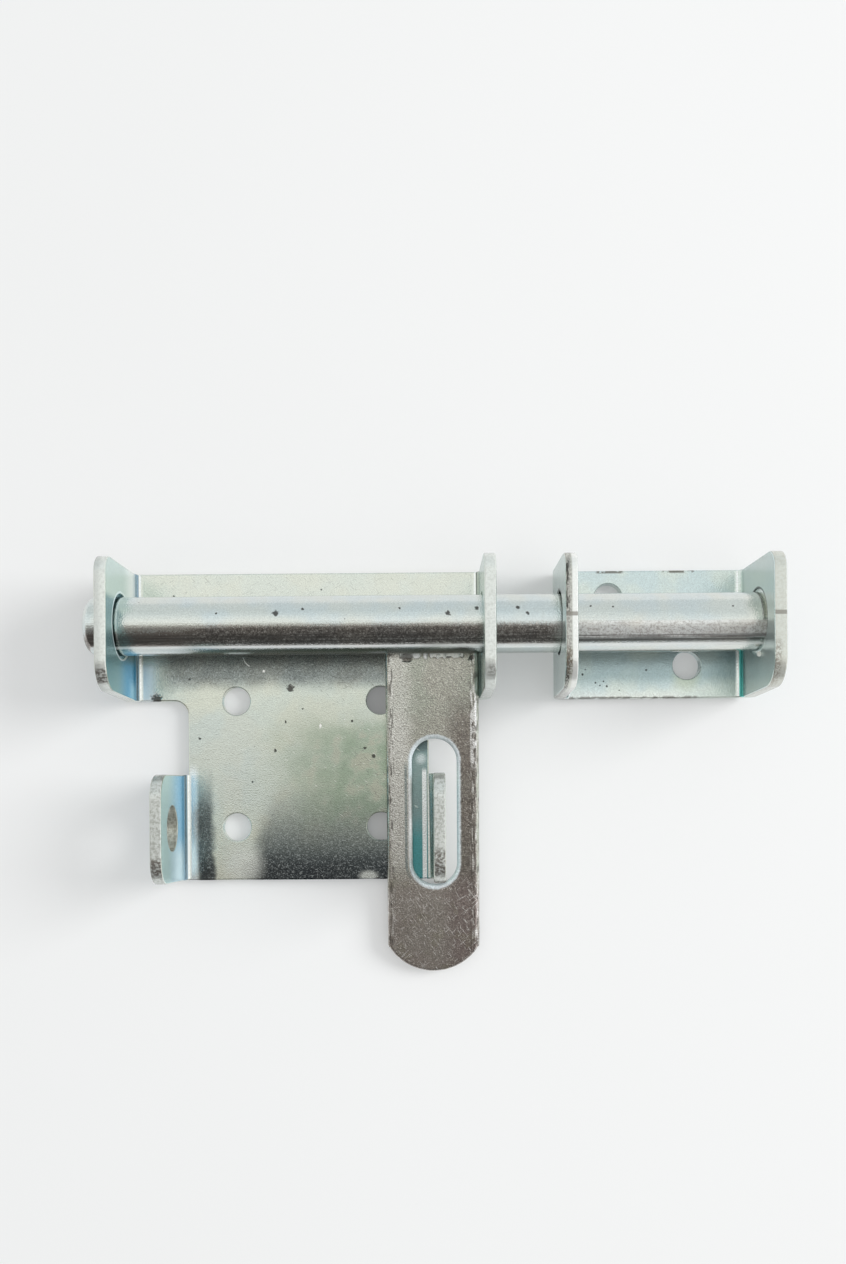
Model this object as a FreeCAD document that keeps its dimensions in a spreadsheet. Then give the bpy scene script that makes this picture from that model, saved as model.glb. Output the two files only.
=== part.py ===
import FreeCAD, Part
import os
import Sketcher

# Padbolt with its keep, in millimetres. X runs along the bolt, Y towards the bar's side of the
# backplate, Z up from the surface that the plates are screwed to. The origin is the middle of the
# backplate's four screw holes, on its underside.

SIZES = [
    # backplate sheet
    ("sheet_thickness", 3.2),
    ("bend_radius", 2.0),
    ("strip_front", 18.2),
    ("strip_rear", 54.8),
    ("plate_front", 33.3),
    ("neck_step", 1.15),
    ("notch_radius", 4.0),
    # ears that carry the bar
    ("ear_span", 98.5),
    ("ear_height", 33.0),
    ("ear_lean", 1.2),
    ("ear_front_corner", 8.0),
    ("ear_rear_corner", 4.8),
    # lugs that take the padlock
    ("lug_inset", 13.55),
    ("lug_height", 30.8),
    ("lug_rear", 3.0),
    ("lug_lean", 1.1),
    ("lug_corner", 6.5),
    ("padlock_hole", 12.5),
    ("padlock_hole_set_back", 17.7),
    ("padlock_hole_height", 18.2),
    # screw holes
    ("screw_hole", 8.0),
    ("screw_pitch_x", 41.4),
    ("screw_pitch_y", 36.2),
    # bar
    ("bar_diameter", 16.0),
    ("bar_set_back", 37.7),
    ("bar_height", 17.5),
    ("bar_clearance", 0.8),
    ("bar_sag", 0.5),
    ("bar_overhang", 6.0),
    ("bar_end_inset", 0.3),
    ("bar_chamfer", 1.6),
    # hasp
    ("hasp_thickness", 3.2),
    ("hasp_width", 26.2),
    ("hasp_side_gap", 0.55),
    ("hasp_reach", 98.2),
    ("hasp_end_radius", 15.1),
    ("hasp_edge_radius", 1.3),
    ("hasp_rest_gap", 0.1),
    ("slot_width", 12.6),
    ("slot_offset", 0.5),
    ("slot_start", 31.6),
    ("slot_length", 41.6),
    # weld between bar and hasp
    ("weld_clearance", 0.05),
    ("weld_length", 17.8),
    ("weld_offset", 0.2),
    ("weld_leg", 3.5),
    ("weld_rise", 3.2),
    ("weld_end_round", 1.4),
    # keep sheet
    ("keep_thickness", 3.4),
    ("keep_bend_radius", 2.0),
    ("keep_gap", 17.85),
    ("keep_length", 57.5),
    ("keep_front", 18.0),
    ("keep_width", 36.7),
    ("keep_height", 33.2),
    ("keep_lean", 1.4),
    ("keep_front_corner", 8.0),
    ("keep_rear_corner", 5.2),
    ("keep_screw_hole", 8.0),
    ("keep_screw_pitch_x", 22.4),
    ("keep_screw_pitch_y", 19.6),
    ("keep_screw_offset_x", 1.6),
    ("keep_screw_offset_y", 0.85),
    # rounding of the rims of the round holes
    ("rim_round", 0.3),
]

doc = FreeCAD.newDocument("padbolt")
sheet = doc.addObject("Spreadsheet::Sheet", "Sizes")
for row, (alias, value) in enumerate(SIZES, start=1):
    cell = "B%d" % row
    sheet.set("A%d" % row, alias.replace("_", " "))
    sheet.set(cell, str(value))
    sheet.setAlias(cell, alias)
doc.recompute()
size = {alias: sheet.get(alias) for alias, value in SIZES}

# Expressions that several sub-parts share
OUTER_BEND = "(Sizes.bend_radius + Sizes.sheet_thickness)"
EAR_OUTER = "(Sizes.ear_span / 2 + Sizes.sheet_thickness)"
# The lugs stand in from the ears by a set step, so that the staple stays under the hasp
LUG_INNER = "(Sizes.ear_span / 2 - Sizes.lug_inset)"
LUG_OUTER = "(%s + Sizes.sheet_thickness)" % LUG_INNER
NECK_SIDE = "(%s - Sizes.neck_step)" % LUG_INNER
KEEP_OUTER_BEND = "(Sizes.keep_bend_radius + Sizes.keep_thickness)"
KEEP_X = "(%s + Sizes.keep_gap)" % EAR_OUTER
BAR_RADIUS = "(Sizes.bar_diameter / 2)"
BAR_HOLE = "(Sizes.bar_diameter + 2 * Sizes.bar_clearance)"
HASP_TOP = "(Sizes.hasp_thickness - %s)" % BAR_RADIUS
HASP_X = "(Sizes.ear_span / 2 - Sizes.hasp_side_gap - Sizes.hasp_width / 2)"
SADDLE_RADIUS = "(%s + Sizes.weld_clearance)" % BAR_RADIUS
# The hasp hangs down from the bar until it lies on the front edge of the backplate
REST_DROP = "(Sizes.bar_height - Sizes.sheet_thickness - Sizes.hasp_rest_gap)"
REST_RUN = "(Sizes.bar_set_back + Sizes.plate_front)"
HASP_DROOP = "atan(%s / %s) - asin(%s / sqrt(%s ^ 2 + %s ^ 2))" % (
    REST_DROP, REST_RUN, BAR_RADIUS, REST_DROP, REST_RUN)
# The bar lies low in its holes, whose middles are a little higher than the bar's own
HOLE_HEIGHT = "(Sizes.bar_height + Sizes.bar_sag)"
TOUCH = 1e-3


def plane(body, role):
    """The body's own origin plane of that role."""
    return next(item for item in body.Origin.OriginFeatures if item.Role == role)


def new_body(name):
    body = doc.addObject("PartDesign::Body", name)
    body.Label = name
    return body


def new_sketch(body, name, role, shift=None):
    """A sketch on an origin plane, moved along the plane's normal by an expression."""
    sketch = body.newObject("Sketcher::SketchObject", name)
    sketch.AttachmentSupport = [(plane(body, role), "")]
    sketch.MapMode = "FlatFace"
    if shift:
        sketch.setExpression("AttachmentOffset.Base.z", shift)
    return sketch


def bind(sketch, kind, places, name, expression, guess):
    """One named dimension of a sketch, driven by an expression."""
    index = sketch.addConstraint(Sketcher.Constraint(kind, *places, guess))
    sketch.renameConstraint(index, name)
    sketch.setExpression("Constraints." + name, expression)


def value_of(expression):
    return float(sheet.evalExpression(expression.replace("Sizes.", "")))


def outline_of(sketch, corners):
    """A closed outline of level and upright lines.

    Each corner is a pair of expressions, or a third one gives the radius that rounds it.
    """
    count = len(corners)
    points = [FreeCAD.Vector(value_of(corner[0]), value_of(corner[1]), 0) for corner in corners]
    starts = list(points)
    ends = list(points)
    bends = {}
    for i, corner in enumerate(corners):
        if len(corner) < 3:
            continue
        radius = value_of(corner[2])
        arriving = (points[i] - points[i - 1]).normalize()
        leaving = (points[(i + 1) % count] - points[i]).normalize()
        ends[i] = points[i] - arriving * radius
        starts[i] = points[i] + leaving * radius
        centre = ends[i] + leaving * radius
        halfway = centre + (points[i] - centre).normalize() * radius
        turns_left = arriving.cross(leaving).z > 0
        bends[i] = (halfway, turns_left, corner[2], radius)
    lines = [sketch.addGeometry(Part.LineSegment(starts[i], ends[(i + 1) % count])) for i in range(count)]
    for i, line in enumerate(lines):
        after = (i + 1) % count
        level = corners[i][1] == corners[after][1]
        sketch.addConstraint(Sketcher.Constraint("Horizontal" if level else "Vertical", line))
        kind = "DistanceY" if level else "DistanceX"
        expression = corners[i][1] if level else corners[i][0]
        bind(sketch, kind, (-1, 1, line, 1), "side_%d" % i, expression, value_of(expression))
        if after not in bends:
            sketch.addConstraint(Sketcher.Constraint("Coincident", line, 2, lines[after], 1))
            continue
        halfway, turns_left, radius_expression, radius = bends[after]
        first, last = (ends[after], starts[after]) if turns_left else (starts[after], ends[after])
        arc = sketch.addGeometry(Part.Arc(first, halfway, last))
        arc_in, arc_out = (1, 2) if turns_left else (2, 1)
        sketch.addConstraint(Sketcher.Constraint("Tangent", line, 2, arc, arc_in))
        sketch.addConstraint(Sketcher.Constraint("Tangent", arc, arc_out, lines[after], 1))
        bind(sketch, "Radius", (arc,), "bend_%d" % after, radius_expression, radius)


def circle(sketch, name, x, y, diameter):
    """A circle whose centre and diameter follow expressions."""
    centre = FreeCAD.Vector(value_of(x), value_of(y), 0)
    axis = FreeCAD.Vector(0, 0, 1)
    ring = sketch.addGeometry(Part.Circle(centre, axis, value_of(diameter) / 2))
    bind(sketch, "DistanceX", (-1, 1, ring, 3), name + "_x", x, centre.x)
    bind(sketch, "DistanceY", (-1, 1, ring, 3), name + "_y", y, centre.y)
    bind(sketch, "Diameter", (ring,), name + "_diameter", diameter, value_of(diameter))


def pad(body, name, sketch, length, midplane=False, downwards=False):
    feature = body.newObject("PartDesign::Pad", name)
    feature.Profile = sketch
    feature.setExpression("Length", length)
    feature.Midplane = midplane
    feature.Reversed = downwards
    doc.recompute()


def cut_through(body, name, sketch):
    """A pocket through everything on both sides of the sketch, checked to have cut."""
    before = body.Shape.Volume
    feature = body.newObject("PartDesign::Pocket", name)
    feature.Profile = sketch
    feature.Type = "ThroughAll"
    feature.Midplane = True
    doc.recompute()
    if body.Shape.Volume >= before - TOUCH:
        raise RuntimeError(name + " cuts nothing")


def dress_edges(body, kind, name, dimension, expression, wanted):
    """A fillet or chamfer of one size on every edge that passes the test."""
    base = body.Tip
    names = ["Edge%d" % (i + 1) for i, edge in enumerate(base.Shape.Edges) if wanted(edge)]
    if not names:
        raise RuntimeError(name + " finds no edge")
    feature = body.newObject("PartDesign::" + kind, name)
    feature.Base = (base, names)
    feature.setExpression(dimension, expression)
    doc.recompute()


def round_edges(body, name, radius, wanted):
    dress_edges(body, "Fillet", name, "Radius", radius, wanted)


def runs_along(edge, axis):
    """True for a straight edge along that axis."""
    if not isinstance(edge.Curve, Part.Line):
        return False
    return abs(abs(edge.Curve.Direction.dot(axis)) - 1) < TOUCH


def middle(edge):
    return edge.CenterOfMass


X_AXIS = FreeCAD.Vector(1, 0, 0)
Y_AXIS = FreeCAD.Vector(0, 1, 0)
Z_AXIS = FreeCAD.Vector(0, 0, 1)


def near(a, b):
    return abs(a - b) < TOUCH


def is_rim(edge):
    """True for the full circle at either end of a round hole."""
    return isinstance(edge.Curve, Part.Circle) and edge.isClosed()


def channel_section(sketch, half_inner, half_outer, thickness, height, inner_bend, outer_bend):
    """A flat floor with an upright wall bent up at each end."""
    outline_of(sketch, [
        ("-" + half_outer, height), ("-" + half_outer, "0", outer_bend), (half_outer, "0", outer_bend),
        (half_outer, height), (half_inner, height), (half_inner, thickness, inner_bend),
        ("-" + half_inner, thickness, inner_bend), ("-" + half_inner, height)])


def lean_back(body, name, front, lean, foot, top):
    """Takes a wedge off every upright front edge, from nothing at the foot to the lean at the top."""
    sketch = new_sketch(body, name + "_outline", "YZ_Plane")
    ahead = front + " - " + lean
    corners = [(front, foot), (front + " + " + lean, top), (ahead, top), (ahead, foot)]
    points = [FreeCAD.Vector(value_of(y), value_of(z), 0) for y, z in corners]
    for i, start in enumerate(points):
        sketch.addGeometry(Part.LineSegment(start, points[(i + 1) % len(points)]))
    for i, corner in enumerate(corners):
        sketch.addConstraint(Sketcher.Constraint("Coincident", i, 2, (i + 1) % len(corners), 1))
        bind(sketch, "DistanceX", (-1, 1, i, 1), "corner_%d_y" % i, corner[0], points[i].x)
        bind(sketch, "DistanceY", (-1, 1, i, 1), "corner_%d_z" % i, corner[1], points[i].y)
    cut_through(body, name + "_cut", sketch)


# Backplate: a rear strip with the two ears, and a narrower front part with the two lugs
backplate = new_body("backplate")
strip = new_sketch(backplate, "strip_section", "XZ_Plane", "-Sizes.strip_rear")
channel_section(strip, "Sizes.ear_span / 2", EAR_OUTER, "Sizes.sheet_thickness", "Sizes.ear_height",
                "Sizes.bend_radius", OUTER_BEND)
pad(backplate, "strip_and_ears", strip, "Sizes.strip_rear - Sizes.strip_front")

neck = new_sketch(backplate, "neck_outline", "XY_Plane")
outline_of(neck, [
    ("-" + NECK_SIDE, "-Sizes.lug_rear"), (NECK_SIDE, "-Sizes.lug_rear"),
    (NECK_SIDE, "Sizes.strip_front + Sizes.notch_radius / 2"),
    ("-" + NECK_SIDE, "Sizes.strip_front + Sizes.notch_radius / 2")])
pad(backplate, "neck", neck, "Sizes.sheet_thickness")

lugs = new_sketch(backplate, "lug_section", "XZ_Plane", "Sizes.lug_rear")
channel_section(lugs, LUG_INNER, LUG_OUTER, "Sizes.sheet_thickness", "Sizes.lug_height",
                "Sizes.bend_radius", OUTER_BEND)
pad(backplate, "front_and_lugs", lugs, "Sizes.plate_front - Sizes.lug_rear")

# The upright front edges lean back a little towards their tops
lean_back(backplate, "ear_lean", "Sizes.strip_front", "Sizes.ear_lean", OUTER_BEND, "Sizes.ear_height")
lean_back(backplate, "lug_lean", "-Sizes.plate_front", "Sizes.lug_lean", OUTER_BEND, "Sizes.lug_height")

# Rounded corners: tops of the ears and lugs, and the two notches beside the ears
round_edges(backplate, "ear_rear_corners", "Sizes.ear_rear_corner",
            lambda edge: runs_along(edge, X_AXIS) and near(middle(edge).z, size["ear_height"])
            and near(middle(edge).y, size["strip_rear"]))
round_edges(backplate, "ear_front_corners", "Sizes.ear_front_corner",
            lambda edge: runs_along(edge, X_AXIS) and near(middle(edge).z, size["ear_height"])
            and near(middle(edge).y, size["strip_front"] + size["ear_lean"]))
round_edges(backplate, "lug_corners", "Sizes.lug_corner",
            lambda edge: runs_along(edge, X_AXIS) and near(middle(edge).z, size["lug_height"]))
round_edges(backplate, "notch_corners", "Sizes.notch_radius",
            lambda edge: runs_along(edge, Z_AXIS) and near(middle(edge).y, size["strip_front"])
            and near(abs(middle(edge).x), value_of(NECK_SIDE)))

ear_holes = new_sketch(backplate, "bar_hole_outline", "YZ_Plane")
circle(ear_holes, "bar_hole", "Sizes.bar_set_back", HOLE_HEIGHT, BAR_HOLE)
cut_through(backplate, "bar_holes", ear_holes)
lug_holes = new_sketch(backplate, "padlock_hole_outline", "YZ_Plane")
circle(lug_holes, "padlock_hole", "-Sizes.padlock_hole_set_back", "Sizes.padlock_hole_height",
       "Sizes.padlock_hole")
cut_through(backplate, "padlock_holes", lug_holes)
screws = new_sketch(backplate, "screw_hole_outline", "XY_Plane")
for side in ("-", ""):
    for end in ("-", ""):
        name = "screw%s%s" % ("_left" if side else "_right", "_front" if end else "_rear")
        circle(screws, name, side + "Sizes.screw_pitch_x / 2", end + "Sizes.screw_pitch_y / 2",
               "Sizes.screw_hole")
cut_through(backplate, "screw_holes", screws)
round_edges(backplate, "hole_rims", "Sizes.rim_round", is_rim)

# Bar: a plain round with chamfered ends, along X from its own left end
bar = new_body("bolt_bar")
BAR_LENGTH = "(%s + Sizes.bar_overhang + %s + Sizes.keep_length - Sizes.bar_end_inset)" % (EAR_OUTER, KEEP_X)
profile = new_sketch(bar, "bar_end_outline", "YZ_Plane")
circle(profile, "bar", "0", "0", "Sizes.bar_diameter")
pad(bar, "bar_round", profile, BAR_LENGTH)
dress_edges(bar, "Chamfer", "bar_end_chamfers", "Size", "Sizes.bar_chamfer", is_rim)
bar.setExpression("Placement.Base.x", "-%s - Sizes.bar_overhang" % EAR_OUTER)
bar.setExpression("Placement.Base.y", "Sizes.bar_set_back")
bar.setExpression("Placement.Base.z", "Sizes.bar_height")


def hang_on_bar(body):
    """The hasp and its weld are drawn about the bar's axis, then turned to where the hasp lies."""
    body.Placement.Rotation = FreeCAD.Rotation(X_AXIS, value_of(HASP_DROOP))
    body.setExpression("Placement.Base.x", HASP_X)
    body.setExpression("Placement.Base.y", "Sizes.bar_set_back")
    body.setExpression("Placement.Base.z", "Sizes.bar_height")
    body.setExpression("Placement.Rotation.Angle", HASP_DROOP)


# Hasp: a flat strip with rounded sides, flush with the underside of the bar, with an arc for its end
hasp = new_body("hasp")
HASP_START = "sqrt(%s ^ 2 - %s ^ 2)" % (SADDLE_RADIUS, HASP_TOP)
outline = new_sketch(hasp, "hasp_outline", "XY_Plane", "-" + BAR_RADIUS)
half_width = size["hasp_width"] / 2
start_y = -value_of(HASP_START)
end_centre_y = size["hasp_end_radius"] - size["hasp_reach"]
end_corner_y = end_centre_y - (size["hasp_end_radius"] ** 2 - half_width ** 2) ** 0.5
left_rear = FreeCAD.Vector(-half_width, start_y, 0)
right_rear = FreeCAD.Vector(half_width, start_y, 0)
left_front = FreeCAD.Vector(-half_width, end_corner_y, 0)
right_front = FreeCAD.Vector(half_width, end_corner_y, 0)
tip = FreeCAD.Vector(0, -size["hasp_reach"], 0)
rear = outline.addGeometry(Part.LineSegment(right_rear, left_rear))
left = outline.addGeometry(Part.LineSegment(left_rear, left_front))
front = outline.addGeometry(Part.Arc(left_front, tip, right_front))
right = outline.addGeometry(Part.LineSegment(right_front, right_rear))
for here, there in (((rear, 2), (left, 1)), ((left, 2), (front, 1)), ((front, 2), (right, 1)),
                    ((right, 2), (rear, 1))):
    outline.addConstraint(Sketcher.Constraint("Coincident", *here, *there))
outline.addConstraint(Sketcher.Constraint("Horizontal", rear))
outline.addConstraint(Sketcher.Constraint("Vertical", left))
outline.addConstraint(Sketcher.Constraint("Vertical", right))
outline.addConstraint(Sketcher.Constraint("PointOnObject", front, 3, -2))
bind(outline, "DistanceX", (-1, 1, right, 2), "right_side", "Sizes.hasp_width / 2", half_width)
bind(outline, "DistanceX", (-1, 1, left, 1), "left_side", "-Sizes.hasp_width / 2", -half_width)
bind(outline, "DistanceY", (-1, 1, rear, 1), "rear_edge", "-" + HASP_START, start_y)
bind(outline, "Radius", (front,), "end_radius", "Sizes.hasp_end_radius", size["hasp_end_radius"])
bind(outline, "DistanceY", (-1, 1, front, 3), "end_centre", "Sizes.hasp_end_radius - Sizes.hasp_reach",
     end_centre_y)
pad(hasp, "hasp_strip", outline, "Sizes.hasp_thickness")
round_edges(hasp, "hasp_sides", "Sizes.hasp_edge_radius",
            lambda edge: runs_along(edge, Y_AXIS) and near(abs(middle(edge).x), half_width))

slot = new_sketch(hasp, "slot_outline", "XY_Plane")
slot_half = size["slot_width"] / 2
slot_x = size["slot_offset"]
near_end = -size["slot_start"] - slot_half
far_end = -size["slot_start"] - size["slot_length"] + slot_half
near_arc = slot.addGeometry(Part.Arc(
    FreeCAD.Vector(slot_x + slot_half, near_end, 0), FreeCAD.Vector(slot_x, near_end + slot_half, 0),
    FreeCAD.Vector(slot_x - slot_half, near_end, 0)))
far_arc = slot.addGeometry(Part.Arc(
    FreeCAD.Vector(slot_x - slot_half, far_end, 0), FreeCAD.Vector(slot_x, far_end - slot_half, 0),
    FreeCAD.Vector(slot_x + slot_half, far_end, 0)))
left_side = slot.addGeometry(Part.LineSegment(
    FreeCAD.Vector(slot_x - slot_half, near_end, 0), FreeCAD.Vector(slot_x - slot_half, far_end, 0)))
right_side = slot.addGeometry(Part.LineSegment(
    FreeCAD.Vector(slot_x + slot_half, far_end, 0), FreeCAD.Vector(slot_x + slot_half, near_end, 0)))
for here, there in (((near_arc, 2), (left_side, 1)), ((left_side, 2), (far_arc, 1)),
                    ((far_arc, 2), (right_side, 1)), ((right_side, 2), (near_arc, 1))):
    slot.addConstraint(Sketcher.Constraint("Tangent", *here, *there))
SLOT_RADIUS = "Sizes.slot_width / 2"
bind(slot, "Radius", (near_arc,), "end_radius", SLOT_RADIUS, slot_half)
bind(slot, "DistanceX", (-1, 1, near_arc, 3), "middle", "Sizes.slot_offset", slot_x)
bind(slot, "DistanceX", (-1, 1, far_arc, 3), "far_middle", "Sizes.slot_offset", slot_x)
bind(slot, "DistanceY", (-1, 1, near_arc, 3), "near_end", "-Sizes.slot_start - " + SLOT_RADIUS, near_end)
bind(slot, "DistanceY", (-1, 1, far_arc, 3), "far_end",
     "-Sizes.slot_start - Sizes.slot_length + " + SLOT_RADIUS, far_end)
cut_through(hasp, "slot_cut", slot)
hang_on_bar(hasp)

# Weld: one bead in the corner between the bar and the top of the hasp, with rounded ends
weld = new_body("weld_bead")
section = new_sketch(weld, "weld_section", "YZ_Plane")
saddle = value_of(SADDLE_RADIUS)
top = value_of(HASP_TOP)
crest = top + size["weld_rise"]
root = FreeCAD.Vector(-(saddle ** 2 - top ** 2) ** 0.5, top, 0)
toe = FreeCAD.Vector(root.x - size["weld_leg"], top, 0)
shoulder = FreeCAD.Vector(-(saddle ** 2 - crest ** 2) ** 0.5, crest, 0)
on_bar_angle = 0.5 * (crest + top) / saddle
on_bar = FreeCAD.Vector(-saddle * (1 - on_bar_angle ** 2) ** 0.5, saddle * on_bar_angle, 0)
foot_line = section.addGeometry(Part.LineSegment(root, toe))
face_line = section.addGeometry(Part.LineSegment(toe, shoulder))
seat_arc = section.addGeometry(Part.Arc(shoulder, on_bar, root))
section.addConstraint(Sketcher.Constraint("Coincident", foot_line, 2, face_line, 1))
section.addConstraint(Sketcher.Constraint("Coincident", face_line, 2, seat_arc, 1))
section.addConstraint(Sketcher.Constraint("Coincident", seat_arc, 2, foot_line, 1))
section.addConstraint(Sketcher.Constraint("Horizontal", foot_line))
section.addConstraint(Sketcher.Constraint("Coincident", seat_arc, 3, -1, 1))
bind(section, "Radius", (seat_arc,), "saddle", SADDLE_RADIUS, saddle)
bind(section, "DistanceY", (-1, 1, foot_line, 1), "hasp_top", HASP_TOP, top)
bind(section, "DistanceY", (foot_line, 1, face_line, 2), "rise", "Sizes.weld_rise", size["weld_rise"])
bind(section, "DistanceX", (foot_line, 2, foot_line, 1), "leg", "Sizes.weld_leg", size["weld_leg"])
pad(weld, "bead", section, "Sizes.weld_length", midplane=True)
weld_end = size["weld_length"] / 2
face_middle_y = (toe.x + shoulder.x) / 2
round_edges(weld, "bead_ends", "Sizes.weld_end_round",
            lambda edge: near(abs(middle(edge).x), weld_end) and near(middle(edge).y, face_middle_y))
hang_on_bar(weld)
weld.setExpression("Placement.Base.x", HASP_X + " - Sizes.weld_offset")

# Keep: a folded sheet with two ears, slipped over the end of the bar
keep = new_body("keep")
KEEP_INNER = "(Sizes.keep_length / 2 - Sizes.keep_thickness)"
channel = new_sketch(keep, "keep_section", "XZ_Plane", "-Sizes.keep_front - Sizes.keep_width")
channel_section(channel, KEEP_INNER, "(Sizes.keep_length / 2)", "Sizes.keep_thickness", "Sizes.keep_height",
                "Sizes.keep_bend_radius", KEEP_OUTER_BEND)
pad(keep, "keep_channel", channel, "Sizes.keep_width")
lean_back(keep, "keep_lean", "Sizes.keep_front", "Sizes.keep_lean", KEEP_OUTER_BEND, "Sizes.keep_height")
keep_rear = size["keep_front"] + size["keep_width"]
round_edges(keep, "keep_rear_corners", "Sizes.keep_rear_corner",
            lambda edge: runs_along(edge, X_AXIS) and near(middle(edge).z, size["keep_height"])
            and near(middle(edge).y, keep_rear))
round_edges(keep, "keep_front_corners", "Sizes.keep_front_corner",
            lambda edge: runs_along(edge, X_AXIS) and near(middle(edge).z, size["keep_height"])
            and near(middle(edge).y, size["keep_front"] + size["keep_lean"]))
keep_bar_holes = new_sketch(keep, "keep_bar_hole_outline", "YZ_Plane")
circle(keep_bar_holes, "bar_hole", "Sizes.bar_set_back", HOLE_HEIGHT, BAR_HOLE)
cut_through(keep, "keep_bar_holes", keep_bar_holes)
keep_screws = new_sketch(keep, "keep_screw_outline", "XY_Plane")
KEEP_MIDDLE = "Sizes.keep_front + Sizes.keep_width / 2 + Sizes.keep_screw_offset_y"
circle(keep_screws, "rear_screw", "-Sizes.keep_screw_pitch_x / 2 - Sizes.keep_screw_offset_x",
       KEEP_MIDDLE + " + Sizes.keep_screw_pitch_y / 2", "Sizes.keep_screw_hole")
circle(keep_screws, "front_screw", "Sizes.keep_screw_pitch_x / 2 - Sizes.keep_screw_offset_x",
       KEEP_MIDDLE + " - Sizes.keep_screw_pitch_y / 2", "Sizes.keep_screw_hole")
cut_through(keep, "keep_screw_holes", keep_screws)
round_edges(keep, "keep_hole_rims", "Sizes.rim_round", is_rim)
keep.setExpression("Placement.Base.x", KEEP_X + " + Sizes.keep_length / 2")
doc.recompute()

# Every object must have been worked out before anything is written
for item in doc.Objects:
    if "Invalid" in item.State or "Error" in item.State:
        raise RuntimeError("%s is %s" % (item.Name, item.State))
parts = [backplate, bar, hasp, weld, keep]
for body in parts:
    if body.Shape.isNull() or not body.Shape.isValid() or len(body.Shape.Solids) != 1:
        raise RuntimeError(body.Label + " is not one valid solid")
os.makedirs("parts", exist_ok=True)
for body in parts:
    body.Shape.exportStep("parts/%s.step" % body.Label)
    box = body.Shape.BoundBox
    print("%s %.1f mm3, X %.2f to %.2f, Y %.2f to %.2f, Z %.2f to %.2f" % (
        body.Label, body.Shape.Volume, box.XMin, box.XMax, box.YMin, box.YMax, box.ZMin, box.ZMax))
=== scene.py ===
import bpy
from math import radians, sin
from mathutils import Matrix, Vector, noise


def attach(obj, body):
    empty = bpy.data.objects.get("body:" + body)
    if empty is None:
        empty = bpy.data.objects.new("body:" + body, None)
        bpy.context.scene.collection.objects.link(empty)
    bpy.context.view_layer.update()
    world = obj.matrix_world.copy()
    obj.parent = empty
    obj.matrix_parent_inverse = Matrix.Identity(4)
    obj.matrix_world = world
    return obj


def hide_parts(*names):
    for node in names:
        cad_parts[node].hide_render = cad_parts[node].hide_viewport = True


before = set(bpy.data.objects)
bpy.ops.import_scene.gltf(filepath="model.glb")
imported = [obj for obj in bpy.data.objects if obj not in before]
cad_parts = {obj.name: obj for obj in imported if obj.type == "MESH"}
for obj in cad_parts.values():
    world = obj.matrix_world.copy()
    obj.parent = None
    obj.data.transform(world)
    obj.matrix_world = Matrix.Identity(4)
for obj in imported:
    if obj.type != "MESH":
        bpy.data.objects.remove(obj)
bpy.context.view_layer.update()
scene = bpy.context.scene
scene.view_settings.view_transform = "Standard"

# Places and sizes are in millimetres, in the frame of the CAD parts: the origin in the middle of the
# backplate's four screw holes, X along the bolt to the right, Y towards the bar, Z up from the floor.
MM = 0.001
PLATE_TOP, PLATE_BEND_TOP = 3.2, 5.0
KEEP_TOP, KEEP_BEND_TOP = 3.4, 5.2
BAR_HOLE_Y, BAR_HOLE_Z, BAR_HOLE_RADIUS = 37.7, 18.0, 8.8
PADLOCK_HOLE_Y, PADLOCK_HOLE_Z, PADLOCK_HOLE_RADIUS = -17.7, 18.2, 6.25
SCREW_X, SCREW_Y, SCREW_RADIUS = 20.7, 18.1, 4.0
KEEP_SCREWS = [(86.25, 47.0), (108.65, 27.4)]
LUG_ROOT_X, LUG_ROOT_Y = 34.55, -3.0
HASP_TOP = 12.16
SLOT_X, SLOT_Y, SLOT_STRAIGHT = 36.1, -14.1, 29.2

PLATE_HOLES = [("x", BAR_HOLE_Y, BAR_HOLE_Z, BAR_HOLE_RADIUS),
               ("x", PADLOCK_HOLE_Y, PADLOCK_HOLE_Z, PADLOCK_HOLE_RADIUS)]
PLATE_HOLES += [("z", x, y, SCREW_RADIUS) for x in (-SCREW_X, SCREW_X) for y in (-SCREW_Y, SCREW_Y)]
PLATE_HOLES += [("z", x, LUG_ROOT_Y, 0.0) for x in (-LUG_ROOT_X, LUG_ROOT_X)]
KEEP_HOLES = [("x", BAR_HOLE_Y, BAR_HOLE_Z, BAR_HOLE_RADIUS)]
KEEP_HOLES += [("z", x, y, SCREW_RADIUS) for x, y in KEEP_SCREWS]


# Node trees, written as sums

class Value:
    """A shader socket that can be reckoned with like a number."""

    def __init__(self, tree, socket):
        self.tree = tree
        self.socket = socket

    def also(self, output):
        """Another output of the same node."""
        return Value(self.tree, self.socket.node.outputs[output])

    def maths(self, operation, *others):
        return self.tree.node("ShaderNodeMath", {"operation": operation},
                              dict(enumerate((self,) + others)))

    def __add__(self, other):
        return self.maths("ADD", other)

    def __radd__(self, other):
        return self.maths("ADD", other)

    def __sub__(self, other):
        return self.maths("SUBTRACT", other)

    def __rsub__(self, other):
        return (self * -1).maths("ADD", other)

    def __mul__(self, other):
        return self.maths("MULTIPLY", other)

    def __rmul__(self, other):
        return self.maths("MULTIPLY", other)

    def __truediv__(self, other):
        return self.maths("DIVIDE", other)

    def __pow__(self, other):
        return self.maths("POWER", other)

    def __abs__(self):
        return self.maths("ABSOLUTE")

    def step(self, low, high):
        """0 below low and 1 above high, smooth between them; low above high turns it round."""
        start, end = (0.0, 1.0) if low < high else (1.0, 0.0)
        return self.tree.node("ShaderNodeMapRange", {"interpolation_type": "SMOOTHSTEP"},
                              {"Value": self, "From Min": min(low, high), "From Max": max(low, high),
                               "To Min": start, "To Max": end})

    def band(self, low, high, soft):
        """1 between low and high, fading to 0 over soft on either side."""
        return self.step(low - soft, low) * self.step(high + soft, high)


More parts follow.
